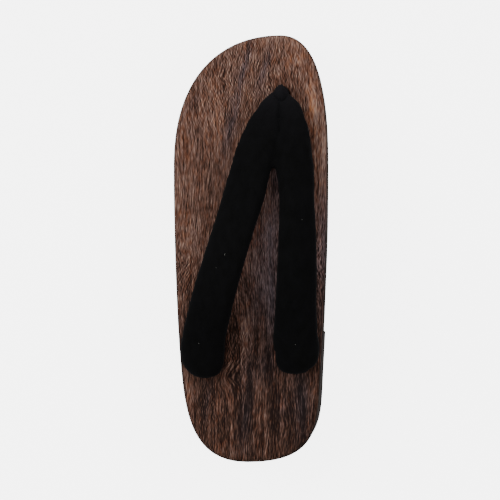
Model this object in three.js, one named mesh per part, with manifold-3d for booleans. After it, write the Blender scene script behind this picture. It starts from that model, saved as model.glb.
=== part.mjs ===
// Geta sandal for the left foot: a burnt paulownia block (the dai) on two rubber pads, with a padded
// velvet strap (the hanao) held by a toe loop (the maetsubo) and three knots.
// Millimetres. +Y points to the toe, +X to the big-toe side, +Z up, and z = 0 is the floor.
import * as THREE from 'three';
import { mergeVertices } from 'three/addons/utils/BufferGeometryUtils.js';
import Module from 'manifold-3d';

// ---- driving dimensions ----------------------------------------------------------------------

const GAP = 0.3;            // between pieces that touch
const PAST = 1;             // how far a cut runs out past the faces it opens
const PAD_THICK = 4;        // rubber pads
const BLOCK_BOTTOM = PAD_THICK + GAP;
const EDGE_ROUND = 3;       // round-over along the top edge
const HALF_LENGTH = 140;
const HALF_WIDTH = 51.5;

// Outline of the top, walked anticlockwise. Heading is the direction of travel in degrees from +X,
// and the reaches are the lengths of the curve's handles on each side of the anchor.
const OUTLINE = [
  { at: 'ball, inner', x: HALF_WIDTH - 1.4, y: 60, heading: 90, reachIn: 45, reachOut: 42.5 },
  { at: 'toe end', x: 19, y: HALF_LENGTH, heading: 180, reachIn: 25, reachOut: 42.5 },
  { at: 'ball, outer', x: -HALF_WIDTH, y: 56, heading: 270, reachIn: 54, reachOut: 41 },
  { at: 'heel, outer', x: -46.2, y: -73, heading: 275, reachIn: 31, reachOut: 34 },
  { at: 'heel end', x: -2.5, y: -HALF_LENGTH, heading: 0, reachIn: 37, reachOut: 50 },
  { at: 'heel, inner', x: 45.7, y: -80, heading: 86, reachIn: 33, reachOut: 50 },
];
const POINTS_PER_SPAN = 16;
const ROUND_STEPS = 4;                        // facets across the round-over
const TOP_RINGS = [0.85, 0.65, 0.45, 0.25];   // rings across the top, as shares of the outline

// Height of the top along the length: high under the heel, low under the ball, a little up at the toe.
const TOP_LINE = [
  { y: -140, z: 45.6 },
  { y: -100, z: 46.4 },
  { y: -60, z: 45 },
  { y: -20, z: 40.4 },
  { y: 20, z: 35.8 },
  { y: 60, z: 33.2 },
  { y: 100, z: 33.4 },
  { y: 140, z: 35.6 },
];

// How far the foot of the side walls stands out beyond the top edge.
const FLARE = [
  { y: -140, out: 0.5 },
  { y: -110, out: 1.2 },
  { y: -60, out: 0.9 },
  { y: 0, out: 0.5 },
  { y: 70, out: 0.3 },
  { y: 140, out: 0 },
];

// The arch seen from the side. Its slope leaves the forefoot almost flat and meets the crown almost
// flat: leave and meet are those two handles, measured from its front end and from the crown's start.
const ARCH = {
  front: 14,
  breast: -55,
  crown: 22.5,
  corner: 8,
  leave: { back: 14, up: 1 },
  meet: { ahead: 21, down: 3 },
  crownStart: { ahead: 24, down: 1 },
};
const TOE_SPRING = { from: 88, rise: 11, flatFor: 22, flatRise: 1 };
// The heel pad follows the flare further out than the wood does, and the front pad is set in.
const SOLE_EDGE = { frontInset: 1.2, heelFlareShare: 1.3, bevel: 1, wellMargin: 1 };
const FRONT_SOLE = { from: 16, to: 86 };

// Strap holes, each opening below into a well that holds a knot.
const STRAP_HOLES = [
  { name: 'front', x: 20.3, y: 101.3, radius: 4.8, wellTop: 20, wellRadius: 10.5 },
  { name: 'lateral', x: -29.6, y: -72.5, radius: 5.8, wellTop: 27, wellRadius: 11 },
  { name: 'medial', x: 30, y: -70.5, radius: 5.8, wellTop: 27, wellRadius: 11 },
];
const KNOT = { radius: 8, height: 9.6 };

// The toe loop: a padded band bent round the strap's neck, on a stem that goes down the front hole.
// Its cloth stands out to a soft ridge across its width; shoulder and ridge are radii. The band sits a
// little outward of its hole, by shift, and its ridge stays over the hole.
const TOE_BAND = { width: 12, shift: -0.8, shoulder: 3.2, ridge: 7.1, sharpness: 1.4, y: 100.3, lift: 0.4 };
const NECK = { radius: 2.3, reach: 1.8 };

// Sections of the two arms, from the end at the back hole to the nose. lift is the height of the
// section's middle above the wood, spread its width seen from above, thick its padding, and bank the
// angle in degrees by which the outer edge hangs lower than the inner one.
const LATERAL_ARM = [
  { y: -84, x: -29.2, lift: 4.4, spread: 6, thick: 6, bank: 0 },
  { y: -82.4, x: -29.3, lift: 6.2, spread: 16, thick: 11, bank: 0 },
  { y: -78.6, x: -29.6, lift: 8.2, spread: 23.5, thick: 15.2, bank: 0 },
  { y: -73.5, x: -30.2, lift: 9.3, spread: 27.8, thick: 17.8, bank: 0 },
  { y: -66, x: -30.4, lift: 11, spread: 29.5, thick: 18.6, bank: 0 },
  { y: -54, x: -28.6, lift: 17.2, spread: 29.2, thick: 18, bank: 6 },
  { y: -34, x: -23.8, lift: 27.5, spread: 28.6, thick: 15.5, bank: 18 },
  { y: -14, x: -18.1, lift: 31.5, spread: 28, thick: 15, bank: 24 },
  { y: 8, x: -11.4, lift: 31, spread: 28, thick: 15, bank: 24 },
  { y: 33, x: -4.1, lift: 26, spread: 28.8, thick: 15, bank: 20 },
  { y: 52, x: 0.3, lift: 20.8, spread: 27.8, thick: 14.5, bank: 15 },
  { y: 68, x: 5, lift: 16, spread: 27, thick: 14, bank: 10 },
  { y: 84, x: 9.8, lift: 11.6, spread: 21.4, thick: 13.6, bank: 6 },
  { y: 92.5, x: 12.8, lift: 9.4, spread: 16, thick: 13, bank: 3 },
  { y: 99.5, x: 14.5, lift: 7.4, spread: 12, thick: 10.5, bank: 0 },
  { y: 101.6, x: 14.8, lift: 6.9, spread: 8, thick: 7, bank: 0 },
  { y: 103.2, x: 15.6, lift: 6.5, spread: 4, thick: 3.5, bank: 0 },
];
const MEDIAL_ARM = [
  { y: -81.4, x: 28.2, lift: 4.4, spread: 6, thick: 6, bank: 0 },
  { y: -79.8, x: 28.4, lift: 6.2, spread: 16, thick: 11, bank: 0 },
  { y: -76.2, x: 29.4, lift: 8.2, spread: 24.5, thick: 15.2, bank: 0 },
  { y: -71.5, x: 30.2, lift: 9.3, spread: 28.5, thick: 17.8, bank: 0 },
  { y: -64, x: 30, lift: 11, spread: 30.6, thick: 18.6, bank: 0 },
  { y: -54, x: 29.4, lift: 16.4, spread: 29.6, thick: 18, bank: 5 },
  { y: -34, x: 30, lift: 27, spread: 26.2, thick: 15.5, bank: 18 },
  { y: -14, x: 30.6, lift: 31.5, spread: 25.2, thick: 15, bank: 24 },
  { y: 8, x: 30.8, lift: 31, spread: 24, thick: 15, bank: 24 },
  { y: 33, x: 30.3, lift: 26, spread: 23, thick: 15, bank: 20 },
  { y: 52, x: 29.6, lift: 20.8, spread: 24.6, thick: 14.5, bank: 15 },
  { y: 68, x: 28.6, lift: 16, spread: 22, thick: 14, bank: 10 },
  { y: 84, x: 27.8, lift: 11.6, spread: 16.8, thick: 13.6, bank: 6 },
  { y: 92.5, x: 26.3, lift: 9.4, spread: 12.8, thick: 13, bank: 3 },
  { y: 98, x: 24.6, lift: 7.8, spread: 10, thick: 10.5, bank: 0 },
  { y: 101.4, x: 24.2, lift: 6.8, spread: 6, thick: 6.5, bank: 0 },
  { y: 103.2, x: 23.6, lift: 6.6, spread: 2.4, thick: 3.5, bank: 0 },
];
const GATHER = { radius: 11, height: 6 };  // the cloth drawn together above each back hole
const BAND_STEPS = 12;      // facets across the toe band
const ARM_STEP = 6;         // spacing of the sections along an arm
const ARM_SIDES = 22;       // points round a section
const ARM_FULLNESS = 2.3;   // 2 is an ellipse, and more is squarer

// ---- tables and meshes -----------------------------------------------------------------------

const { clamp, degToRad } = THREE.MathUtils;

function slopeAt(rows, key, i) {
  const before = rows[Math.max(i - 1, 0)];
  const after = rows[Math.min(i + 1, rows.length - 1)];
  return (after[key] - before[key]) / (after.y - before.y);
}

// A column of a table at y, as a smooth curve through its rows.
function columnAt(rows, key, y) {
  let i = 0;
  while (i < rows.length - 2 && y > rows[i + 1].y) {
    i += 1;
  }
  const span = rows[i + 1].y - rows[i].y;
  const t = clamp((y - rows[i].y) / span, 0, 1);
  const start = (1 + 2 * t) * (1 - t) ** 2 * rows[i][key];
  const end = t * t * (3 - 2 * t) * rows[i + 1][key];
  const leaving = t * (1 - t) ** 2 * span * slopeAt(rows, key, i);
  const arriving = t * t * (1 - t) * span * slopeAt(rows, key, i + 1);
  return start + end + leaving - arriving;
}

const topHeight = (y) => columnAt(TOP_LINE, 'z', y);

function signedVolume(points, faces) {
  let sum = 0;
  for (let i = 0; i < faces.length; i += 3) {
    const normal = points[faces[i + 1]].clone().cross(points[faces[i + 2]]);
    sum += points[faces[i]].dot(normal);
  }
  return sum / 6;
}

// A closed geometry with its faces turned outwards.
function closedGeometry(points, faces) {
  const outward = signedVolume(points, faces) > 0 ? faces : [...faces].reverse();
  const geometry = new THREE.BufferGeometry().setFromPoints(points);
  geometry.setIndex(outward);
  return geometry;
}

// A solid through rings of equal count, each end closed by a fan to a middle point.
function loft(rings, firstMiddle, lastMiddle) {
  const count = rings[0].length;
  const points = [...rings.flat(), firstMiddle, lastMiddle];
  const faces = [];
  for (let i = 0; i < count; i += 1) {
    const next = (i + 1) % count;
    for (let r = 0; r < rings.length - 1; r += 1) {
      const low = r * count;
      const high = low + count;
      faces.push(low + i, low + next, high + i);
      faces.push(low + next, high + next, high + i);
    }
    const last = (rings.length - 1) * count;
    faces.push(next, i, points.length - 2);
    faces.push(last + i, last + next, points.length - 1);
  }
  return closedGeometry(points, faces);
}

function middleOf(ring) {
  const sum = ring.reduce((total, point) => total.add(point), new THREE.Vector3());
  return sum.divideScalar(ring.length);
}

const wasm = await Module();
wasm.setup();

function toSolid(geometry) {
  const plain = geometry.clone();
  plain.deleteAttribute('normal');
  plain.deleteAttribute('uv');
  const welded = mergeVertices(plain, 1e-4);
  const vertProperties = new Float32Array(welded.getAttribute('position').array);
  const triVerts = new Uint32Array(welded.getIndex().array);
  return new wasm.Manifold(new wasm.Mesh({ numProp: 3, vertProperties, triVerts }));
}

function toGeometry(solid) {
  const mesh = solid.getMesh();
  const geometry = new THREE.BufferGeometry();
  geometry.setAttribute('position', new THREE.BufferAttribute(mesh.vertProperties, 3));
  geometry.setIndex(new THREE.BufferAttribute(mesh.triVerts, 1));
  return geometry;
}

// An upright cylinder from one height to another.
function post(x, y, radius, bottom, top, sides = 32) {
  const geometry = new THREE.CylinderGeometry(radius, radius, top - bottom, sides);
  geometry.rotateX(Math.PI / 2);
  geometry.translate(x, y, (bottom + top) / 2);
  return toSolid(geometry);
}

// A cylinder across the sandal, along X.
function crossBar(x, y, z, radius, length, sides = 16) {
  const geometry = new THREE.CylinderGeometry(radius, radius, length, sides);
  geometry.rotateZ(Math.PI / 2);
  geometry.translate(x, y, z);
  return toSolid(geometry);
}

// A side-view shape, drawn in y and z, run right through the sandal along X.
function acrossWidth(shape) {
  const length = 4 * HALF_WIDTH;
  const options = { depth: length, bevelEnabled: false, curveSegments: 10 };
  const geometry = new THREE.ExtrudeGeometry(shape, options);
  const sideways = new THREE.Matrix4().makeBasis(
    new THREE.Vector3(0, 1, 0),
    new THREE.Vector3(0, 0, 1),
    new THREE.Vector3(1, 0, 0),
  );
  geometry.applyMatrix4(sideways);
  geometry.translate(-length / 2, 0, 0);
  return toSolid(geometry);
}

// ---- outline ---------------------------------------------------------------------------------

function headingVector(anchor) {
  const angle = degToRad(anchor.heading);
  return new THREE.Vector2(Math.cos(angle), Math.sin(angle));
}

// Points round the top edge, each with the outward direction there.
function outlinePoints() {
  const found = [];
  OUTLINE.forEach((anchor, i) => {
    const next = OUTLINE[(i + 1) % OUTLINE.length];
    const start = new THREE.Vector2(anchor.x, anchor.y);
    const end = new THREE.Vector2(next.x, next.y);
    const startHandle = start.clone().addScaledVector(headingVector(anchor), anchor.reachOut);
    const endHandle = end.clone().addScaledVector(headingVector(next), -next.reachIn);
    const span = new THREE.CubicBezierCurve(start, startHandle, endHandle, end);
    for (let step = 0; step < POINTS_PER_SPAN; step += 1) {
      const at = span.getPoint(step / POINTS_PER_SPAN);
      const along = span.getTangent(step / POINTS_PER_SPAN);
      found.push({ x: at.x, y: at.y, outX: along.y, outY: -along.x });
    }
  });
  return found;
}

const EDGE = outlinePoints();

// A ring that follows the edge, moved outwards by `out` and sideways with the flare, at height(y).
function edgeRing(out, flareShare, height) {
  return EDGE.map((point) => {
    const x = point.x + point.outX * (out + flareShare * columnAt(FLARE, 'out', point.y));
    const y = point.y + point.outY * out;
    return new THREE.Vector3(x, y, height(y));
  });
}

// ---- the wooden block ------------------------------------------------------------------------

function blockBody() {
  const rings = [edgeRing(0, 1, () => BLOCK_BOTTOM)];
  for (let step = 0; step <= ROUND_STEPS; step += 1) {
    const angle = (step / ROUND_STEPS) * (Math.PI / 2);
    const inset = EDGE_ROUND * (1 - Math.cos(angle));
    const drop = EDGE_ROUND * (1 - Math.sin(angle));
    rings.push(edgeRing(-inset, 0, (y) => topHeight(y) - drop));
  }
  const rim = rings[rings.length - 1];
  for (const share of TOP_RINGS) {
    rings.push(rim.map(({ x, y }) => new THREE.Vector3(x * share, y * share, topHeight(y * share))));
  }
  const bottomMiddle = new THREE.Vector3(0, 0, BLOCK_BOTTOM);
  const topMiddle = new THREE.Vector3(0, 0, topHeight(0));
  return toSolid(loft(rings, bottomMiddle, topMiddle));
}

// The hollow under the waist: a long slope up from the forefoot, then the upright heel breast.
function archCut() {
  const { front, breast, crown, corner, leave, meet, crownStart } = ARCH;
  const start = new THREE.Vector2(breast + crownStart.ahead, crown - crownStart.down);
  const shape = new THREE.Shape();
  shape.moveTo(front, -PAST);
  shape.lineTo(front, BLOCK_BOTTOM);
  shape.bezierCurveTo(
    front - leave.back, BLOCK_BOTTOM + leave.up,
    start.x + meet.ahead, start.y - meet.down,
    start.x, start.y,
  );
  shape.lineTo(breast + corner, crown);
  shape.quadraticCurveTo(breast, crown, breast, crown - corner);
  shape.lineTo(breast, -PAST);
  return acrossWidth(shape);
}

// What is taken off under the toe, so that the front lifts clear of the floor.
function toeSpringCut() {
  const { from, rise, flatFor, flatRise } = TOE_SPRING;
  const end = HALF_LENGTH + 2 * PAST;
  const shape = new THREE.Shape();
  shape.moveTo(from, -PAST);
  shape.lineTo(from, BLOCK_BOTTOM);
  shape.quadraticCurveTo(from + flatFor, BLOCK_BOTTOM + flatRise, end, BLOCK_BOTTOM + rise);
  shape.lineTo(end, -PAST);
  return acrossWidth(shape);
}

function blockGeometry() {
  let block = blockBody().subtract(archCut()).subtract(toeSpringCut());
  for (const hole of STRAP_HOLES) {
    block = block.subtract(post(hole.x, hole.y, hole.radius, 0, topHeight(hole.y) + PAST));
    block = block.subtract(post(hole.x, hole.y, hole.wellRadius, 0, hole.wellTop));
  }
  return toGeometry(block);
}

// ---- rubber pads -----------------------------------------------------------------------------

// A pad of the block's own outline, between two places along the length, with a bevelled foot.
function padSolid(from, to, out, flareShare) {
  const { bevel } = SOLE_EDGE;
  const rings = [
    edgeRing(out - bevel, flareShare, () => 0),
    edgeRing(out, flareShare, () => bevel),
    edgeRing(out, flareShare, () => PAD_THICK),
  ];
  const whole = toSolid(loft(rings, new THREE.Vector3(0, 0, 0), new THREE.Vector3(0, 0, PAD_THICK)));
  const stretch = new THREE.BoxGeometry(4 * HALF_WIDTH, to - from, 4 * PAD_THICK);
  stretch.translate(0, (from + to) / 2, 0);
  return whole.intersect(toSolid(stretch));
}

function heelSoleGeometry() {
  let pad = padSolid(-2 * HALF_LENGTH, ARCH.breast - GAP, 0, SOLE_EDGE.heelFlareShare);
  for (const hole of STRAP_HOLES.filter((each) => each.y < 0)) {
    const radius = hole.wellRadius + SOLE_EDGE.wellMargin;
    pad = pad.subtract(post(hole.x, hole.y, radius, -PAST, PAD_THICK + PAST));
  }
  return toGeometry(pad);
}

function frontSoleGeometry() {
  return toGeometry(padSolid(FRONT_SOLE.from, FRONT_SOLE.to, -SOLE_EDGE.frontInset, 1));
}

// ---- strap -----------------------------------------------------------------------------------

// One section of an arm, upright across the sandal; side is +1 for the inner arm and -1 for the outer.
function armSection(rows, y, side) {
  const tilt = degToRad(columnAt(rows, 'bank', y)) * -side;
  const halfThick = columnAt(rows, 'thick', y) / 2;
  const halfSpread = columnAt(rows, 'spread', y) / 2;
  const flat = Math.sqrt(halfSpread ** 2 - (halfThick * Math.sin(tilt)) ** 2);
  const halfWidth = flat / Math.cos(tilt);
  const middleZ = topHeight(y) + columnAt(rows, 'lift', y);
  const ring = [];
  for (let i = 0; i < ARM_SIDES; i += 1) {
    const angle = (i / ARM_SIDES) * 2 * Math.PI;
    const cos = Math.cos(angle);
    const sin = Math.sin(angle);
    const u = halfWidth * Math.sign(cos) * Math.abs(cos) ** (2 / ARM_FULLNESS);
    const v = halfThick * Math.sign(sin) * Math.abs(sin) ** (2 / ARM_FULLNESS);
    const x = columnAt(rows, 'x', y) + u * Math.cos(tilt) - v * Math.sin(tilt);
    ring.push(new THREE.Vector3(x, y, middleZ + u * Math.sin(tilt) + v * Math.cos(tilt)));
  }
  return ring;
}

function armSolid(rows, side) {
  const rings = [];
  rows.forEach((row, i) => {
    const next = rows[i + 1];
    const steps = next ? Math.max(1, Math.round((next.y - row.y) / ARM_STEP)) : 1;
    for (let step = 0; step < steps; step += 1) {
      const y = next ? row.y + ((next.y - row.y) * step) / steps : row.y;
      rings.push(armSection(rows, y, side));
    }
  });
  return toSolid(loft(rings, middleOf(rings[0]), middleOf(rings[rings.length - 1])));
}

const frontHole = STRAP_HOLES[0];
const bandMiddleZ = topHeight(TOE_BAND.y) + TOE_BAND.lift + TOE_BAND.ridge;

// The band turned once round a bar across the sandal. With a clearance it is the room it needs, with
// no bore; without one it is the band itself, bored for the neck.
function bandSolid(clearance) {
  const { width, shift, shoulder, ridge, sharpness, y } = TOE_BAND;
  const half = width / 2 + clearance;
  const fold = shift / (width / 2);
  const bore = clearance > 0 ? 0 : NECK.radius + GAP;
  const profile = [new THREE.Vector2(bore, -half)];
  for (let step = 0; step <= BAND_STEPS; step += 1) {
    const across = (2 * step) / BAND_STEPS - 1;
    const fromFold = Math.abs(across - fold) / (across < fold ? 1 + fold : 1 - fold);
    const radius = shoulder + (ridge - shoulder) * (1 - fromFold ** sharpness);
    profile.push(new THREE.Vector2(radius + clearance, across * half));
  }
  profile.push(new THREE.Vector2(bore, half));
  if (bore > 0) {
    profile.push(profile[0].clone());
  }
  const geometry = new THREE.LatheGeometry(profile, 28);
  geometry.rotateZ(Math.PI / 2);
  geometry.translate(frontHole.x + shift, y, bandMiddleZ);
  return toSolid(geometry);
}

// What draws an arm's end into its hole: a cone where the cloth is gathered, and the tail below it.
function strapTail(hole) {
  const radius = hole.radius - GAP;
  const gatherBottom = topHeight(hole.y) + GAP;
  const cone = new THREE.CylinderGeometry(GATHER.radius, radius, GATHER.height, 20);
  cone.rotateX(Math.PI / 2);
  cone.translate(hole.x, hole.y, gatherBottom + GATHER.height / 2);
  return post(hole.x, hole.y, radius, hole.wellTop, gatherBottom + 1, 20).add(toSolid(cone));
}

// Both arms in one piece: hollowed round the toe loop, joined again by the neck that runs through it,
// and with a tail down each back hole.
function strapGeometry() {
  const { width, shift, y } = TOE_BAND;
  let strap = armSolid(LATERAL_ARM, -1).add(armSolid(MEDIAL_ARM, 1));
  strap = strap.subtract(bandSolid(GAP));
  strap = strap.subtract(post(frontHole.x, frontHole.y, frontHole.radius + GAP, 0, bandMiddleZ));
  strap = strap.add(crossBar(frontHole.x + shift, y, bandMiddleZ, NECK.radius, width + 2 * NECK.reach));
  for (const hole of STRAP_HOLES.filter((each) => each.y < 0)) {
    strap = strap.add(strapTail(hole));
  }
  return toGeometry(strap);
}

// ---- toe loop and knots ----------------------------------------------------------------------

function toeLoopGeometry() {
  const stemTop = bandMiddleZ - (NECK.radius + GAP + TOE_BAND.ridge) / 2;
  const stem = post(frontHole.x, frontHole.y, frontHole.radius - GAP, frontHole.wellTop, stemTop, 20);
  return toGeometry(bandSolid(0).add(stem));
}

// A squat knot: a barrel with a waist where its cord doubles over.
function knotGeometry() {
  const { radius, height } = KNOT;
  const profile = new THREE.SplineCurve([
    new THREE.Vector2(0, 0),
    new THREE.Vector2(radius * 0.62, height * 0.03),
    new THREE.Vector2(radius * 0.97, height * 0.22),
    new THREE.Vector2(radius * 0.88, height * 0.45),
    new THREE.Vector2(radius * 0.9, height * 0.55),
    new THREE.Vector2(radius * 0.94, height * 0.8),
    new THREE.Vector2(radius * 0.6, height * 0.97),
    new THREE.Vector2(0, height),
  ]);
  const points = profile.getPoints(18);
  points[0].x = 0;
  points[points.length - 1].x = 0;
  const geometry = new THREE.LatheGeometry(points, 24);
  geometry.rotateX(Math.PI / 2);
  return geometry;
}

// ---- assembly --------------------------------------------------------------------------------

const FINISHES = {
  wood: { color: '#5e4232', roughness: 0.7, metalness: 0 },
  rubber: { color: '#1c1b1b', roughness: 0.85, metalness: 0 },
  velvet: { color: '#0e0d0e', roughness: 1, metalness: 0 },
  hemp: { color: '#a08a62', roughness: 0.95, metalness: 0 },
};

function piece(name, geometry, finish) {
  const mesh = new THREE.Mesh(geometry, new THREE.MeshStandardMaterial(FINISHES[finish]));
  mesh.name = name;
  return mesh;
}

const geta = new THREE.Group();
geta.add(piece('base', blockGeometry(), 'wood'));
geta.add(piece('front_sole', frontSoleGeometry(), 'rubber'));
geta.add(piece('heel_sole', heelSoleGeometry(), 'rubber'));
geta.add(piece('strap', strapGeometry(), 'velvet'));
geta.add(piece('toe_loop', toeLoopGeometry(), 'velvet'));
for (const hole of STRAP_HOLES) {
  const knot = piece(`knot_${hole.name}`, knotGeometry(), 'hemp');
  knot.position.set(hole.x, hole.y, hole.wellTop - GAP - KNOT.height);
  geta.add(knot);
}

export default geta;
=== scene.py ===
import math
import random

import bpy
import numpy as np
from mathutils import Matrix, Vector
from mathutils.bvhtree import BVHTree


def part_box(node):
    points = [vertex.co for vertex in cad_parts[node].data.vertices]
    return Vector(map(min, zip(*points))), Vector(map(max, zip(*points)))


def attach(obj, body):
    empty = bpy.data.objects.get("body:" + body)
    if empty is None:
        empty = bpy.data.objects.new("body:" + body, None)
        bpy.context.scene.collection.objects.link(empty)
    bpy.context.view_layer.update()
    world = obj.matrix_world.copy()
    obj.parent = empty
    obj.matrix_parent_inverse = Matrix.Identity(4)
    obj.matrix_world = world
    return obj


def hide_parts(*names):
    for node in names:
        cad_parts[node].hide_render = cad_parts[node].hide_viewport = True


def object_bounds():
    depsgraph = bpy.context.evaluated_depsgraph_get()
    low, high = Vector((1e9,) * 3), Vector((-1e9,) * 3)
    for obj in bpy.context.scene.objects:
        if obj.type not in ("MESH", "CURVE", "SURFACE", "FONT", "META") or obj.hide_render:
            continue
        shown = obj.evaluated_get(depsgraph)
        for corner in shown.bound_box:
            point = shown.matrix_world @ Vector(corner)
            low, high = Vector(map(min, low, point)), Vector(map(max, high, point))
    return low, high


# Looks of a geta sandal for the left foot. Metres; +Y to the toe, +X to the big-toe side, +Z up.
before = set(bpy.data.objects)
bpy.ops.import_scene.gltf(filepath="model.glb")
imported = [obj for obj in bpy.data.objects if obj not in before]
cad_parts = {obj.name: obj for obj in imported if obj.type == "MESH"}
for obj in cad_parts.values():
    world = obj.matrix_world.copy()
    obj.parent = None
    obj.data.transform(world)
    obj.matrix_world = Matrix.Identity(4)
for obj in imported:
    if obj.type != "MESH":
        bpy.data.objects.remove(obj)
cad_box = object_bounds()
scene = bpy.context.scene
MM = 0.001

# Sizes of this sandal that several pieces share.
WOOD_AT_HOLES = 46 * MM     # height of the wood at the two back holes
BACK_HOLES = [(-29.6, -72.5), (30, -70.5)]      # outer, inner; millimetres seen from above
NOSE_MIDDLE = 18.6 * MM     # where the nose of the strap points, across the sandal
NOSE_HELD = 93 * MM         # the strap is drawn tight into the toe loop from here on


# ---- colours and nodes -------------------------------------------------------------------------

def linear(code):
    """A hex sRGB colour as linear red, green, blue and alpha."""
    shares = [int(code[i:i + 2], 16) / 255 for i in (1, 3, 5)]
    return [s / 12.92 if s <= 0.04045 else ((s + 0.055) / 1.055) ** 2.4 for s in shares] + [1.0]


def set_inputs(tree, node, inputs):
    """Sets a node's inputs, each to a value or from another node's output."""
    for name, value in dict(inputs).items():
        if isinstance(value, bpy.types.NodeSocket):
            tree.links.new(value, node.inputs[name])
        else:
            node.inputs[name].default_value = value


def add(tree, kind, inputs=(), stops=(), **settings):
    """Adds one node: its settings, its inputs as values or as links, and a ramp's stops."""
    made = tree.nodes.new("ShaderNode" + kind)
    for name, value in settings.items():
        setattr(made, name, value)
    set_inputs(tree, made, inputs)
    if stops:
        elements = made.color_ramp.elements
        elements[0].position, elements[0].color = stops[0]
        elements[-1].position, elements[-1].color = stops[-1]
        for place, colour in stops[1:-1]:
            elements.new(place).color = colour
    return made


def blank_material(name):
    """A new material, with its node tree and its shader."""
    material = bpy.data.materials.new(name)
    material.use_nodes = True
    tree = material.node_tree
    shader = tree.nodes["Principled BSDF"]
    return material, tree, shader


def millimetres(tree):
    """The place on the sandal in its own millimetres, so that patterns keep their real sizes."""
    place = add(tree, "TexCoord").outputs["Object"]
    return add(tree, "VectorMath", {0: place, 3: 1 / MM}, operation="SCALE").outputs[0]


def parts_of(tree, vector):
    """The x, y and z of a vector."""
    return add(tree, "SeparateXYZ", {0: vector}).outputs


def stretched(tree, place, across, along):
    """Coordinates in which a mark of that width and length, in millimetres, is one unit each way."""
    size = (1 / across, 1 / along, 1 / across)
    return add(tree, "VectorMath", {0: place, 1: size}, operation="MULTIPLY").outputs[0]


def noise(tree, place, across, along, detail):
    """Cloudy noise with blots of about that width and length, in millimetres."""
    where = stretched(tree, place, across, along)
    return add(tree, "TexNoise", {"Vector": where, "Scale": 1, "Detail": detail}).outputs


def both_ways(tree, value):
    """Spreads a value between 0 and 1 over -1 to 1."""
    return add(tree, "Math", {0: value, 1: 2, 2: -1}, operation="MULTIPLY_ADD").outputs[0]


def weighted_sum(tree, terms):
    """The sum of each value times its weight, from a list of pairs. Either may be a node's output."""
    total = 0.0
    for value, weight in terms:
        total = add(tree, "Math", {0: value, 1: weight, 2: total}, operation="MULTIPLY_ADD").outputs[0]
    return total


def ramp(tree, value, low, high, start=0, end=1, easing="LINEAR"):
    """Runs from start to end while the value goes from low to high."""
    return add(tree, "MapRange", {
        "Value": value, 1: low, 2: high, 3: start, 4: end,
    }, interpolation_type=easing).outputs[0]


def mixed_value(tree, share, first, second):
    """The first value, turned into the second by a share."""
    return add(tree, "Mix", {0: share, 2: first, 3: second}).outputs[0]


def mixed_colour(tree, share, first, second, way="MIX"):
    """The first colour, with the second laid over it by a share."""
    return add(tree, "Mix", {
        0: share, 6: first, 7: second,
    }, data_type="RGBA", blend_type=way, clamp_factor=True).outputs[2]


def shades(tree, value, stops):
    """A colour for each value, from pairs of a value and a hex colour."""
    return add(tree, "ValToRGB", {0: value}, stops=[(at, linear(code)) for at, code in stops]).outputs[0]


def relief(tree, height, strength, depth):
    """A bumpy surface, its relief that many millimetres deep."""
    return add(tree, "Bump", {"Height": height, "Strength": strength, "Distance": depth * MM}).outputs[0]


# ---- burnt paulownia ---------------------------------------------------------------------------

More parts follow.
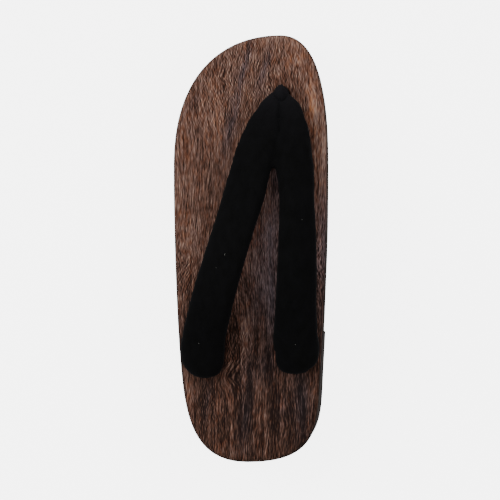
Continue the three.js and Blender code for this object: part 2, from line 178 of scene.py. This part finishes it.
# Where the figure of this block departs from its even run, in millimetres. tone is how much lighter,
# or darker if negative; soot is how much of a grey film stays on it, or of warm resin if negative;
# lean turns it in degrees, its toe end towards the inner side.
PATCHES = [
    dict(name="pale streak by the big toe", x=38.5, y=92, wide=4.5, long=32, lean=-1, tone=0.68, soot=-1.9),
    dict(name="pale inner edge", x=44, y=64, wide=8, long=60, lean=0, tone=0.33, soot=-0.4),
    dict(name="warm patch beside the loop", x=33, y=122, wide=14, long=34, lean=-6, tone=0.22, soot=-0.8),
    dict(name="pale tip", x=18, y=138, wide=40, long=12, lean=0, tone=0.22, soot=-0.1),
    dict(name="sooty vein at the tip", x=-4, y=119, wide=5, long=42, lean=14, tone=-0.3, soot=1.1),
    dict(name="sooty vein before the loop", x=10.5, y=118, wide=5, long=27, lean=16, tone=-0.01, soot=1),
    dict(name="sooty flank beside the ball", x=-15, y=80, wide=8, long=46, lean=14, tone=-0.09, soot=1),
    dict(name="sooty outer shoulder", x=-38, y=97, wide=6, long=28, lean=32, tone=-0.08, soot=0.3),
    dict(name="warm outer ball", x=-45, y=70, wide=9, long=36, lean=4, tone=-0.06, soot=-1),
    dict(name="warm band of the ball", x=-29, y=72, wide=8, long=42, lean=8, tone=0.05, soot=-0.7),
    dict(name="pale outer edge", x=-44, y=20, wide=15, long=70, lean=0, tone=0.06, soot=-0.4),
    # Painted shade: the wood under the nose of the strap is darkened and greyed, standing in for the shade
    # the strap throws there.
    dict(name="dark under the nose", x=17, y=47, wide=8, long=26, lean=0, tone=-0.16, soot=1.2),
    dict(name="resin between the arms", x=4, y=9, wide=13, long=30, lean=16, tone=-0.06, soot=-1.5),
    dict(name="scorch between the arms", x=14, y=12, wide=22, long=74, lean=8, tone=0.01, soot=1.1),
    dict(name="sooty band to the heel", x=14, y=-34, wide=9, long=80, lean=3, tone=-0.02, soot=1.3),
    dict(name="soot between the arms", x=5, y=-30, wide=24, long=60, lean=6, tone=0.15, soot=1),
    dict(name="warm wood before the heel", x=-6, y=-54, wide=9, long=30, lean=6, tone=0.38, soot=-0.1),
    dict(name="dark waist edge", x=47, y=-6, wide=14, long=90, lean=0, tone=-0.18, soot=1.4),
    dict(name="soot round the inner hole", x=8, y=-78, wide=26, long=22, lean=0, tone=-0.04, soot=0.5),
    dict(name="pale outer heel", x=-41, y=-96, wide=7, long=28, lean=-6, tone=0.14, soot=-0.5),
    dict(name="dark outer heel", x=-29, y=-98, wide=6, long=28, lean=8, tone=-0.24, soot=0.6),
    dict(name="warm middle of the heel", x=-20, y=-98, wide=9, long=34, lean=8, tone=0.13, soot=-0.1),
    dict(name="warm end of the heel", x=-18, y=-130, wide=26, long=14, lean=0, tone=0.13, soot=-0.5),
    dict(name="sooty middle of the heel", x=-4, y=-106, wide=9, long=50, lean=3, tone=-0.2, soot=1),
    dict(name="dark round the red fleck", x=20, y=-104, wide=9, long=22, lean=0, tone=-0.20, soot=0.4),
    dict(name="red fleck of the heel", x=20, y=-103, wide=4, long=9, lean=0, tone=0.34, soot=-2),
    dict(name="brown streak of the heel", x=8, y=-112, wide=6, long=50, lean=0, tone=0.06, soot=-0.3),
    dict(name="sooty inner heel", x=31, y=-102, wide=11, long=50, lean=0, tone=-0.19, soot=1.3),
]
# Places where the grain is curly, and others where its lines bend round a small knot by some mm.
CURLS = [
    dict(x=-4, y=112, wide=78, long=78, share=1.3),
    dict(x=-44, y=-14, wide=22, long=40, share=1.1),
    dict(x=46, y=-10, wide=14, long=60, share=0.8),
    dict(x=-8, y=-70, wide=22, long=36, share=1.3),
    dict(x=-28, y=-104, wide=20, long=60, share=0.7),
    dict(x=8, y=0, wide=10, long=40, share=0.6),
]
EDDIES = [
    dict(x=-15, y=-84, wide=14, long=18, push=5),
    dict(x=-40, y=-10, wide=16, long=26, push=-3),
    dict(x=2, y=104, wide=22, long=26, push=3),
    dict(x=24, y=-116, wide=14, long=34, push=-3),
]
# All in millimetres: a patch goes right through the block, from a middle at half its height.
PATCH_HEIGHT, PATCH_DEPTH = 30, 400
WANDER_REACH, RIPPLE_REACH = 12.0, 2.6
RING_SPACING = 6.2
BRUSHED_DEPTH = 0.25
# The pith lies outside the block, in millimetres, and leans a little to its length, in radians.
PITH_PLACE, PITH_LEAN = (118, 0, -46), (0.02, 0, 0.05)
# How curly the straightest grain is, and how strongly resin and soot tint the wood under them.
LEAST_CURL, RESIN_SHARE, SOOT_SHARE = 0.16, 0.45, 0.55


def soft_spot(tree, place, row):
    """1 in the middle of a patch, fading to 0 at its edge."""
    local = add(tree, "Mapping", {
        "Vector": place,
        "Location": (row["x"], row["y"], PATCH_HEIGHT),
        "Rotation": (0, 0, math.radians(-row.get("lean", 0))),
        "Scale": (row["wide"], row["long"], PATCH_DEPTH),
    }, vector_type="TEXTURE").outputs[0]
    return add(tree, "TexGradient", {0: local}, gradient_type="QUADRATIC_SPHERE").outputs["Fac"]


def marks(tree, place, across, along, detail=0):
    """Soft marks of that width and length in millimetres, about evenly light and dark, from -1 to 1."""
    return both_ways(tree, noise(tree, place, across, along, detail)["Fac"])


def dashes(tree, lines, across, along, lean, spacing):
    """Fine dashes side by side, spacing apart and about along in length, in millimetres, from -1 to 1.
    Each small bundle of them covers across by along, and they lean by an angle in degrees."""
    leaning = add(tree, "VectorRotate", {
        "Vector": lines, "Angle": math.radians(lean),
    }, rotation_type="Z_AXIS").outputs[0]
    gabor = add(tree, "TexGabor", {
        "Vector": stretched(tree, leaning, across, along), "Scale": 1,
        "Frequency": across / spacing, "Anisotropy": 1, 4: 0,
    }, gabor_type="2D")
    return both_ways(tree, gabor.outputs["Value"])


def grain_lines(tree, place, curl):
    """The place measured along the grain, which wanders by some millimetres over a hand's width,
    ripples over a finger's where it is curly, and turns aside round small knots."""
    wander = noise(tree, place, 34, 110, 1)
    ripple = noise(tree, place, 4, 9, 1)
    ripple_reach = weighted_sum(tree, [(curl, RIPPLE_REACH)])
    lines = place
    for bend, reach in ((wander, WANDER_REACH), (ripple, ripple_reach)):
        centred = add(tree, "VectorMath", {
            0: bend["Color"], 1: (0.5, 0.5, 0.5),
        }, operation="SUBTRACT").outputs[0]
        shift = add(tree, "VectorMath", {0: centred, 3: reach}, operation="SCALE").outputs[0]
        lines = add(tree, "VectorMath", {
            0: shift, 1: (1, 0, 1), 2: lines,
        }, operation="MULTIPLY_ADD").outputs[0]
    for eddy in EDDIES:
        push = weighted_sum(tree, [(soft_spot(tree, place, eddy), eddy["push"])])
        aside = add(tree, "CombineXYZ", {0: push}).outputs[0]
        lines = add(tree, "VectorMath", {0: lines, 1: aside}, operation="ADD").outputs[0]
    return lines


def growth_rings(tree, lines):
    """Growth rings round the pith, from -1 to 1. At scale 1 the wave's rings lie pi / 10 apart."""
    about_pith = add(tree, "Mapping", {
        "Vector": lines, "Location": PITH_PLACE, "Rotation": PITH_LEAN,
    }, vector_type="TEXTURE").outputs[0]
    rings = add(tree, "TexWave", {
        "Vector": about_pith, "Scale": math.pi / 10 / RING_SPACING,
        "Distortion": 2.2, "Detail": 2, "Detail Scale": 0.5,
    }, wave_type="RINGS", rings_direction="Y", wave_profile="SAW").outputs["Fac"]
    return both_ways(tree, rings)


def cut_fibres(tree, place, lines, curl, on_top, end_grain):
    """Fibres and pores cut lengthwise: on the top, fine dashes that cross at a low angle in curly
    wood and run straight elsewhere; on the walls, long fine lines."""
    cross = weighted_sum(tree, [
        (dashes(tree, lines, 2.1, 2.9, 16, 1.7), 0.58),
        (dashes(tree, lines, 1.9, 2.5, -14, 1.45), 0.58),
    ])
    straight = weighted_sum(tree, [
        (dashes(tree, lines, 2.2, 8, 1.5, 1.6), 0.42),
        (dashes(tree, lines, 1.8, 4.5, -3, 1.3), 0.42),
    ])
    brushed = mixed_value(tree, curl, straight, cross)
    side_grain, end_pores = marks(tree, place, 0.8, 36, 2), marks(tree, place, 0.5, 20)
    on_walls = mixed_value(tree, end_grain, side_grain, end_pores)
    return mixed_value(tree, on_top, on_walls, brushed)


def burnt_paulownia():
    """Paulownia scorched with a flame, wire brushed along the grain and waxed: the soft pores keep
    their char as dark dashes, and the harder wood between them is rubbed back to tan."""
    material, tree, shader = blank_material("burnt_paulownia")
    place = millimetres(tree)
    facing = parts_of(tree, add(tree, "TexCoord").outputs["Normal"])
    on_top = ramp(tree, facing[2], 0.3, 0.9)
    endwise = add(tree, "Math", {0: facing[1]}, operation="ABSOLUTE").outputs[0]
    end_grain = ramp(tree, endwise, 0.45, 0.95)
    toe = ramp(tree, parts_of(tree, place)[1], -66, 12, easing="SMOOTHSTEP")

    # Curly grain, where the fibres cross in waves, and straight grain elsewhere.
    curly = weighted_sum(tree, [(soft_spot(tree, place, row), row["share"]) for row in CURLS])
    curl = add(tree, "Math", {0: curly, 1: LEAST_CURL}, operation="ADD", use_clamp=True).outputs[0]
    lines = grain_lines(tree, place, curl)

    # Dashes the most at the toe, over longer straight streaks and broad bands.
    figure = weighted_sum(tree, [
        (cut_fibres(tree, place, lines, curl, on_top, end_grain), ramp(tree, toe, 0, 1, 0.95, 1.0)),
        (marks(tree, lines, 0.6, 4, 1), 0.40),
        (marks(tree, lines, 1.1, 10, 2), 0.45),
        (marks(tree, lines, 4, 60, 2), ramp(tree, toe, 0, 1, 0.32, 0.25)),
        (marks(tree, place, 14, 40, 1), 0.12),
    ])

    # Lighter at the toe and darker towards the heel, where the ring lines stand out more.
    flat_share = ramp(tree, toe, 0, 1, 0.09, 0.02)
    ring_share = add(tree, "Math", {0: end_grain, 1: 0.3, 2: flat_share}, operation="MULTIPLY_ADD").outputs[0]
    ring_tone = weighted_sum(tree, [(growth_rings(tree, lines), ring_share)])
    terms = [(ring_tone, 1.0), (toe, 0.24), (figure, 1.0)]
    terms += [(soft_spot(tree, lines, patch), patch["tone"]) for patch in PATCHES]
    tone = add(tree, "Math", {0: weighted_sum(tree, terms), 1: 0.215}, operation="ADD").outputs[0]
    brown = shades(tree, tone, [
        (0.0, "#1b0c08"), (0.15, "#301f17"), (0.30, "#483026"), (0.45, "#614439"),
        (0.60, "#74574b"), (0.80, "#8f7163"), (1.0, "#b08e7c"),
    ])

    # Warm stains where resin came up, and a thin grey film where soot was brushed into the pores.
    mottle = weighted_sum(tree, [(marks(tree, lines, 6, 30), 0.35), (marks(tree, lines, 1.4, 5), 0.7)])
    resin = [
        (soft_spot(tree, place, patch), -RESIN_SHARE * patch["soot"])
        for patch in PATCHES if patch["soot"] < 0
    ]
    warmth = weighted_sum(tree, resin + [(mottle, 1.0)])
    warm = mixed_colour(tree, warmth, brown, linear("#b07a3c"), "SOFT_LIGHT")
    soot = [
        (soft_spot(tree, lines, patch), SOOT_SHARE * patch["soot"])
        for patch in PATCHES if patch["soot"] > 0
    ]
    film = weighted_sum(tree, soot + [(mottle, -0.2)])
    sooty = mixed_colour(tree, film, warm, linear("#4e4448"), "COLOR")

    # The round-over and the sides are darkened to nearly black by how far they turn from the top: partly the
    # char the flame leaves on edges and walls, partly painted shade on them.
    scorch = ramp(tree, facing[2], 0.9, 0.35, 0, 0.85, "SMOOTHSTEP")
    char = mixed_colour(tree, tone, linear("#191615"), linear("#453c37"))

    # Brushing leaves a relief of about a quarter of a millimetre along the grain.
    set_inputs(tree, shader, {
        "Base Color": mixed_colour(tree, scorch, sooty, char),
        "Normal": relief(tree, figure, 0.75, BRUSHED_DEPTH),
        "Roughness": ramp(tree, tone, 0, 1, 0.75, 0.55),
        "IOR": 1.5,
        "Specular IOR Level": 0.12,
    })
    return material


# ---- the other finishes ------------------------------------------------------------------------

def black_velvet():
    """Cotton velvet: a pile about 1 mm deep that swallows light and pales only where it is seen
    edge on, with a nap that lies a little differently from place to place, and a painted sheen
    that pales it towards the nose."""
    material, tree, shader = blank_material("black_velvet")
    place = millimetres(tree)
    nap = noise(tree, place, 5, 9, 3)["Fac"]
    pile = noise(tree, place, 0.45, 0.45, 1)["Fac"]
    shade = shades(tree, nap, [(0.3, "#060606"), (0.7, "#0a0a0b")])
    # Painted sheen: the base colour is lifted towards the nose, where light from the toe side would catch the
    # pile.
    forward = ramp(tree, parts_of(tree, place)[1], 40, 106)
    painted_sheen_to_nose = add(tree, "Math", {0: forward, 1: 4}, operation="POWER").outputs[0]
    height = weighted_sum(tree, [(pile, 0.5), (nap, 0.8)])
    set_inputs(tree, shader, {
        "Base Color": mixed_colour(tree, painted_sheen_to_nose, shade, linear("#19181b")),
        "Normal": relief(tree, height, 0.6, 0.3),
        "Roughness": 0.95,
        "Specular IOR Level": 0.08,
        "Sheen Weight": 0.04,
        "Sheen Roughness": 0.45,
        "Sheen Tint": linear("#9a9aa6"),
    })
    return material


def black_rubber():
    """Rubber sheet, cut and buffed: matt black with a fine stipple."""
    material, tree, shader = blank_material("black_rubber")
    place = millimetres(tree)
    stipple = noise(tree, place, 0.6, 0.6, 2)["Fac"]
    scuff = noise(tree, place, 9, 14, 3)["Fac"]
    set_inputs(tree, shader, {
        "Base Color": shades(tree, scuff, [(0.3, "#1b1a1a"), (0.75, "#2b2a29")]),
        "Normal": relief(tree, stipple, 0.5, 0.2),
        "Roughness": 0.8,
        "IOR": 1.52,
        "Specular IOR Level": 0.4,
    })
    return material


def hemp():
    """Laid hemp cord: dry, straw-coloured fibres, darker in the lay of the strands."""
    material, tree, shader = blank_material("hemp")
    fibres = noise(tree, millimetres(tree), 0.35, 0.8, 3)["Fac"]
    set_inputs(tree, shader, {
        "Base Color": shades(tree, fibres, [(0.25, "#6f5a38"), (0.55, "#a58c5e"), (0.8, "#c9b186")]),
        "Normal": relief(tree, fibres, 0.8, 0.2),
        "Roughness": 0.95,
        "Sheen Weight": 0.15,
    })
    return material


def plain_finish(name, colour, roughness):
    """One even colour, for thread and lint that are finer than any pattern on them."""
    material, tree, shader = blank_material(name)
    set_inputs(tree, shader, {"Base Color": linear(colour), "Roughness": roughness})
    return material


# ---- meshes ------------------------------------------------------------------------------------

def bake(piece):
    """Turns a piece's modifiers into its mesh."""
    evaluated = piece.evaluated_get(bpy.context.evaluated_depsgraph_get())
    mesh = bpy.data.meshes.new_from_object(evaluated)
    piece.modifiers.clear()
    piece.data = mesh
    return piece


def read_vectors(piece, kind):
    """One row per vertex: its place if kind is "co", its outward direction if it is "normal"."""
    vectors = np.empty(len(piece.data.vertices) * 3, np.float32)
    piece.data.vertices.foreach_get(kind, vectors)
    return vectors.reshape(-1, 3).astype(float)


def move_points(piece, points):
    piece.data.vertices.foreach_set("co", points.astype(np.float32).ravel())
    piece.data.update()


def surface_of(piece):
    """A piece's surface, for finding where a straight line meets it."""
    mesh = piece.data
    return BVHTree.FromPolygons([v.co for v in mesh.vertices], [p.vertices for p in mesh.polygons])


def fine_copy(node, name, voxel, easing):
    """An even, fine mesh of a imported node, its edges eased by about a voxel."""
    piece = bpy.data.objects.new(name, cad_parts[node].data.copy())
    scene.collection.objects.link(piece)
    remesh = piece.modifiers.new("even_mesh", "REMESH")
    remesh.mode = "VOXEL"
    remesh.voxel_size = voxel * MM
    smooth = piece.modifiers.new("eased_edges", "SMOOTH")
    smooth.factor = 0.5
    smooth.iterations = easing
    return bake(piece)


def mesh_piece(name, points, faces):
    mesh = bpy.data.meshes.new(name)
    mesh.from_pydata([tuple(p) for p in points], [], faces)
    mesh.update()
    piece = bpy.data.objects.new(name, mesh)
    scene.collection.objects.link(piece)
    return piece


def finish_piece(piece, material, slot, *nodes):
    """Gives a piece its material and its place in the frame."""
    piece.data.materials.clear()
    piece.data.materials.append(material)
    piece.data.polygons.foreach_set("use_smooth", [True] * len(piece.data.polygons))
    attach(piece, "root")
    if nodes:
        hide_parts(*nodes)


def smooth_step(low, high, values):
    t = np.clip((values - low) / (high - low), 0, 1)
    return t * t * (3 - 2 * t)


def swept(points, section):
    """Points and faces of a closed tube along a path; section(i, angle) gives its radius."""
    sides = 15
    points = [Vector(p) for p in points]
    made, faces = [], []
    normal = (points[1] - points[0]).orthogonal().normalized()
    for i, point in enumerate(points):
        tangent = (points[min(i + 1, len(points) - 1)] - points[max(i - 1, 0)]).normalized()
        normal = (normal - tangent * normal.dot(tangent)).normalized()
        side = tangent.cross(normal)
        for k in range(sides):
            angle = 2 * math.pi * k / sides
            made.append(point + (normal * math.cos(angle) + side * math.sin(angle)) * section(i, angle))
    for i in range(len(points) - 1):
        for k in range(sides):
            low, next_low = i * sides + k, i * sides + (k + 1) % sides
            faces.append((low, next_low, next_low + sides, low + sides))
    faces.append(tuple(range(sides - 1, -1, -1)))
    faces.append(tuple(range((len(points) - 1) * sides, len(points) * sides)))
    return made, faces


def joined(name, parts):
    """One mesh of many small parts, each a pair of points and faces."""
    points, faces = [], []
    for part_points, part_faces in parts:
        start = len(points)
        points += part_points
        faces += [tuple(start + i for i in face) for face in part_faces]
    return mesh_piece(name, points, faces)


# ---- the wooden block and its pads -------------------------------------------------------------

def wooden_block(material):
    """The dai: deck, front block, arch and heel block from one piece of wood."""
    finish_piece(fine_copy("base", "dai", 1.2, 3), material, "burnt_paulownia", "base")


def ribbed_pad(node, name, material):
    """A rubber pad with shallow ribs across its foot."""
    rib_spacing, rib_depth = 4 * MM, 0.6 * MM
    pad = fine_copy(node, name, 0.8, 2)
    points = read_vectors(pad, "co")
    groove = 0.5 - 0.5 * np.cos(2 * math.pi * points[:, 1] / rib_spacing)
    low = points[:, 2].min()
    on_foot = 1 - smooth_step(low + 0.3 * MM, low + 0.9 * MM, points[:, 2])
    points[:, 2] += rib_depth * smooth_step(0.55, 0.95, groove) * on_foot
    move_points(pad, points)
    finish_piece(pad, material, "sole_rubber", node)


# ---- the strap ---------------------------------------------------------------------------------

# Middle lines of the two arms seen from above, in millimetres, from the back hole to the nose.
ARM_LINES = {
    "lateral": [(-29.5, -80), (-30.4, -66), (-28.6, -54), (-23.8, -34), (-18.1, -14), (-11.4, 8),
                (-4.1, 33), (0.3, 52), (5, 68), (9.8, 84)],
    "medial": [(29, -78), (30, -64), (29.4, -54), (30, -34), (30.6, -14), (30.8, 8),
               (30.3, 33), (29.6, 52), (28.6, 68), (27.8, 84)],
}
# The seam under each arm: where it starts and ends along the sandal, and one stitch of it.
SEAM_FROM, SEAM_TO, STITCH = -52 * MM, 80 * MM, 4 * MM
THREAD_RADIUS = 0.28 * MM
PLEATS = 13                 # round the end of each arm
CLOTH_STEPS = 20


def puffed(piece, held, pressure, cap):
    """Runs the cover as cloth over its padding, then holds every point within cap of where it was."""
    rest = read_vectors(piece, "co")
    group = piece.vertex_groups.new(name="held")
    group.add([int(i) for i in np.nonzero(held)[0]], 1.0, "ADD")
    cloth = piece.modifiers.new("velvet_cover", "CLOTH")
    cloth.settings.quality = 5
    cloth.settings.mass = 0.15
    cloth.settings.tension_stiffness = 12
    cloth.settings.compression_stiffness = 12
    cloth.settings.bending_stiffness = 0.25
    cloth.settings.shrink_min = -0.035
    cloth.settings.use_pressure = True
    cloth.settings.uniform_pressure_force = pressure
    cloth.settings.effector_weights.gravity = 0
    cloth.settings.vertex_group_mass = "held"
    cloth.collision_settings.use_collision = False
    for step in range(1, CLOTH_STEPS + 1):
        scene.frame_set(step)
    bake(piece)
    scene.frame_set(1)
    shift = read_vectors(piece, "co") - rest
    reach = np.linalg.norm(shift, axis=1, keepdims=True)
    move_points(piece, rest + shift * np.minimum(1, cap / np.maximum(reach, 1e-9)))
    piece.vertex_groups.clear()


def padded_strap(material):
    """The hanao: a velvet tube over padding, puckered by the cords that draw it into its holes."""
    strap = fine_copy("strap", "hanao", 1.9, 3)
    points = read_vectors(strap, "co")
    in_back_holes = (points[:, 1] < -60 * MM) & (points[:, 2] < WOOD_AT_HOLES)
    at_nose = points[:, 1] > NOSE_HELD
    puffed(strap, in_back_holes | at_nose, 3.0, 1.1 * MM)
    subdivide = strap.modifiers.new("smooth_cover", "SUBSURF")
    subdivide.levels = subdivide.render_levels = 1
    bake(strap)
    gather(strap)
    fold_between_arms(strap)
    draw_in_nose(strap)
    finish_piece(strap, material, "velvet", "strap")
    return strap


def gather(strap):
    """Pleats that run out from each back hole, up over the end of the arm."""
    points, normals = read_vectors(strap, "co"), read_vectors(strap, "normal")
    for x, y in BACK_HOLES:
        across = points[:, 0] - x * MM
        along = points[:, 1] - y * MM
        away = np.hypot(across, along)
        angle = np.arctan2(along, across)
        height = points[:, 2] - WOOD_AT_HOLES
        near = 1 - smooth_step(6 * MM, 19 * MM, away + np.maximum(height, 0) * 0.7)
        pleats = np.cos(PLEATS * angle + 1.7 * np.sin(3 * angle)) * 0.45 * MM
        outside = smooth_step(-1 * MM, 1.5 * MM, height)
        points += normals * (pleats * near * outside)[:, None]
    move_points(strap, points)


def fold_between_arms(strap):
    """The crease where the two arms are drawn together behind the toe loop."""
    crease, half_width, depth = 19.2 * MM, 1.2 * MM, 0.9 * MM
    points, normals = read_vectors(strap, "co"), read_vectors(strap, "normal")
    across = (points[:, 0] - crease) / half_width
    starts = smooth_step(66 * MM, 86 * MM, points[:, 1])
    stops = 1 - smooth_step(NOSE_HELD, NOSE_HELD + 4 * MM, points[:, 1])
    upper = smooth_step(0.2, 0.6, normals[:, 2])
    points -= normals * (depth * np.exp(-across ** 2) * starts * stops * upper)[:, None]
    move_points(strap, points)


def draw_in_nose(piece):
    """Above the wood, the nose is pulled narrower towards its tip than its padding would be."""
    narrowing = 0.32
    points = read_vectors(piece, "co")
    towards_tip = smooth_step(94 * MM, 103 * MM, points[:, 1])
    above_wood = smooth_step(34 * MM, 38 * MM, points[:, 2])
    points[:, 0] += narrowing * towards_tip * above_wood * (NOSE_MIDDLE - points[:, 0])
    move_points(piece, points)


def neck_through_loop(material):
    """The neck that joins the two arms through the toe loop, with rounded ends."""
    low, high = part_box("toe_loop")
    ring = (high.y - low.y) / 2
    radius, out, steps = 2.5 * MM, 1.4 * MM, 28
    length = high.x - low.x + 2 * out
    start = Vector((low.x - out, low.y + ring, high.z - ring))

    def rounded(i, angle):
        inward = min(i, steps - i) / steps * length / radius
        return radius * math.sqrt(max(1 - (1 - min(inward, 1)) ** 2, 1e-3))

    path = [start + Vector((length * i / steps, 0, 0)) for i in range(steps + 1)]
    neck = joined("hanao_neck", [swept(path, rounded)])
    draw_in_nose(neck)
    finish_piece(neck, material, "velvet")


def underside_line(surface, line):
    """Each stitch's place and outward direction along the underside of an arm."""
    rows = np.array(line, float) * MM
    order = np.argsort(rows[:, 1])
    under_arms = 34 * MM
    found = []
    for y in np.arange(SEAM_FROM, SEAM_TO, STITCH):
        x = np.interp(y, rows[order, 1], rows[order, 0])
        hit = surface.ray_cast(Vector((x, y, under_arms)), Vector((0, 0, 1)))
        if hit[0] is not None:
            found.append((hit[0], hit[1]))
    return found


def stitch(start, end, normal):
    """The path of one stitch: into the cloth at both ends, and lying on it between them."""
    along = (end - start).normalized()
    return [
        start + along * 0.7 * MM - normal * 0.3 * MM,
        start + along * 1.2 * MM + normal * 0.3 * MM,
        (start + end) / 2 + normal * 0.35 * MM,
        end - along * 1.2 * MM + normal * 0.3 * MM,
        end - along * 0.7 * MM - normal * 0.3 * MM,
    ]


def seam_stitches(strap, material):
    """The seam that closes each velvet tube, sewn along its underside."""
    surface = surface_of(strap)
    parts = []
    for line in ARM_LINES.values():
        found = underside_line(surface, line)
        for (start, normal), (end, _) in zip(found, found[1:]):
            parts.append(swept(stitch(start, end, normal), lambda i, angle: THREAD_RADIUS))
    finish_piece(joined("hanao_stitches", parts), material, "velvet")


# Lint caught in the pile, in millimetres: its place seen from above, length and heading in degrees.
LINT = [
    (-14.9, -4.2, 1.3, 70), (-20.7, -12.5, 0.3, 20), (-32.4, -61.4, 0.5, 110), (29.5, -62.0, 0.5, 15),
    (34.0, 18.0, 0.4, 45),
]
LINT_RADIUS = 0.07 * MM


def lint(strap, material):
    """Specks of pale fibre that a brush would lift off the velvet."""
    surface = surface_of(strap)
    over_strap = 120 * MM
    chance = random.Random(5)
    parts = []
    for x, y, length, heading in LINT:
        hit = surface.ray_cast(Vector((x * MM, y * MM, over_strap)), Vector((0, 0, -1)))
        if hit[0] is None:
            continue
        turn = Matrix.Rotation(math.radians(heading), 3, "Z")
        path = []
        for i in range(6):
            t = i / 5 - 0.5
            bend = Vector((t * length, 0.35 * length * math.cos(3 * t), 0.15 * chance.random())) * MM
            path.append(hit[0] + turn @ bend + hit[1] * 0.18 * MM)
        parts.append(swept(path, lambda i, angle: LINT_RADIUS))
    finish_piece(joined("lint", parts), material, "velvet")


def toe_loop(material):
    """The maetsubo: a folded velvet band, creased where it turns over the nose of the strap."""
    fold_width, fold_depth, crease_depth = 0.7 * MM, 0.5 * MM, 0.08 * MM
    loop = fine_copy("toe_loop", "maetsubo", 0.6, 3)
    points, normals = read_vectors(loop, "co"), read_vectors(loop, "normal")
    middle = (points[:, 0].min() + points[:, 0].max()) / 2
    fold = np.exp(-((points[:, 0] - middle) / fold_width) ** 2)
    creases = np.cos(points[:, 2] / (0.55 * MM) + 3 * points[:, 0] / MM) * crease_depth
    points += normals * (creases - fold_depth * fold)[:, None]
    move_points(loop, points)
    draw_in_nose(loop)
    finish_piece(loop, material, "velvet", "toe_loop")


# ---- knots -------------------------------------------------------------------------------------

def knot(node, tail, material):
    """An overhand knot in laid hemp cord, with one end up its hole and the other cut short."""
    cord, lay, strands = 1.9 * MM, 7 * MM, 3     # radius, length of one turn, and their number
    step = 0.45 * MM
    bends, opening = 60, 0.16                    # points round the knot, and its open angle
    low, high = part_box(node)
    middle = (low + high) / 2
    spread = (high.x - low.x) / 2 - cord * 1.1
    rise = (high.z - low.z) / 2 - cord * 1.1
    path = [middle + Vector((0, 0, high.z - middle.z - cord * 0.4)), middle + Vector((0, -0.2 * MM, rise))]
    for i in range(bends):
        t = opening + i / (bends - 1) * (2 * math.pi - 2 * opening)
        x = (math.sin(t) + 2 * math.sin(2 * t)) / 3 * spread
        y = (math.cos(t) - 2 * math.cos(2 * t)) / 3 * spread
        path.append(middle + Vector((x, y, -math.sin(3 * t) * rise)))
    last = path[-1]
    for share in (0.35, 0.7, 1.0):
        path.append(last + Vector((-1.2 * MM * share, -1.4 * MM * share, -tail * share)))
    turn = 2 * math.pi / lay * step

    def laid(i, angle):
        return cord * (0.84 + 0.16 * abs(math.cos(strands / 2 * (angle + i * turn))))

    piece = joined(node + "_hemp", [swept(fine_path(path, step), laid)])
    finish_piece(piece, material, "hemp_cord", node)


def fine_path(points, step):
    """The same path through its points as a smooth curve, with a point each step."""
    points = np.array([tuple(p) for p in points])
    padded = np.vstack([2 * points[0] - points[1], points, 2 * points[-1] - points[-2]])
    made = []
    for i in range(1, len(padded) - 2):
        a, b, c, d = padded[i - 1:i + 3]
        count = max(1, int(round(np.linalg.norm(c - b) / step)))
        for t in np.arange(count) / count:
            made.append(0.5 * (2 * b + (c - a) * t + (2 * a - 5 * b + 4 * c - d) * t ** 2
                               + (3 * b - a - 3 * c + d) * t ** 3))
    made.append(points[-1])
    return made


# ---- studio ------------------------------------------------------------------------------------

def studio():
    """A pale floor, lit so that it is almost white but throws no light back up on the sandal, an even
    surround and soft boxes, the brightest on the outer side."""
    floor = mesh_piece("floor", [(-4, -4, 0), (4, -4, 0), (4, 4, 0), (-4, 4, 0)], [(0, 1, 2, 3)])
    material, tree, shader = blank_material("pale_paper")
    set_inputs(tree, shader, {
        "Base Color": linear("#f4f4f4"),
        "Roughness": 0.9,
        "Emission Color": linear("#ffffff"),
        "Emission Strength": 5.0,
    })
    floor.data.materials.append(material)
    floor.visible_diffuse = False
    floor.visible_glossy = False

    world = bpy.data.worlds.new("surround")
    world.use_nodes = True
    set_inputs(world.node_tree, world.node_tree.nodes["Background"], {0: linear("#ffffff"), 1: 0.45})
    scene.world = world

    sandal = Vector((0, 0, 0.03))
    for name, place, size, power in (
        ("outer_box", (-1.3, 0.35, 1.25), 1.1, 20),
        ("inner_box", (1.4, 0.1, 1.2), 1.1, 10),
        ("toe_box", (0.1, 1.6, 1.2), 1.2, 9),
    ):
        light = bpy.data.lights.new(name, "AREA")
        light.size = size
        light.energy = power
        lamp = bpy.data.objects.new(name, light)
        lamp.location = place
        lamp.rotation_euler = (sandal - Vector(place)).to_track_quat("-Z", "Y").to_euler()
        scene.collection.objects.link(lamp)


def overhead_camera():
    """Looks down on the sandal from a little to its inner side, toe up in the frame."""
    aside, above = 62 * MM, 1560 * MM
    low, high = cad_box
    target = Vector(((low.x + high.x) / 2, (low.y + high.y) / 2 - 1.3 * MM, 40 * MM))
    eye = target + Vector((aside, 0, above))
    lens = bpy.data.cameras.new("overhead")
    lens.sensor_width = 36
    lens.lens = 171.8
    camera = bpy.data.objects.new("overhead", lens)
    back = (eye - target).normalized()
    up = (Vector((0, 1, 0)) - back * back.y).normalized()
    right = up.cross(back)
    camera.matrix_world = Matrix((
        (right.x, up.x, back.x, eye.x),
        (right.y, up.y, back.y, eye.y),
        (right.z, up.z, back.z, eye.z),
        (0, 0, 0, 1),
    ))
    scene.collection.objects.link(camera)
    scene.camera = camera


# ---- assembly ----------------------------------------------------------------------------------

overhead_camera()
studio()
velvet = black_velvet()
wooden_block(burnt_paulownia())
rubber = black_rubber()
ribbed_pad("front_sole", "front_pad", rubber)
ribbed_pad("heel_sole", "heel_pad", rubber)
strap = padded_strap(velvet)
toe_loop(velvet)
neck_through_loop(velvet)
seam_stitches(strap, plain_finish("black_thread", "#121113", 0.8))
lint(strap, plain_finish("grey_lint", "#83817e", 0.9))
hemp_cord = hemp()
for node, tail in (("knot_front", 3 * MM), ("knot_lateral", 7 * MM), ("knot_medial", 6 * MM)):
    knot(node, tail, hemp_cord)
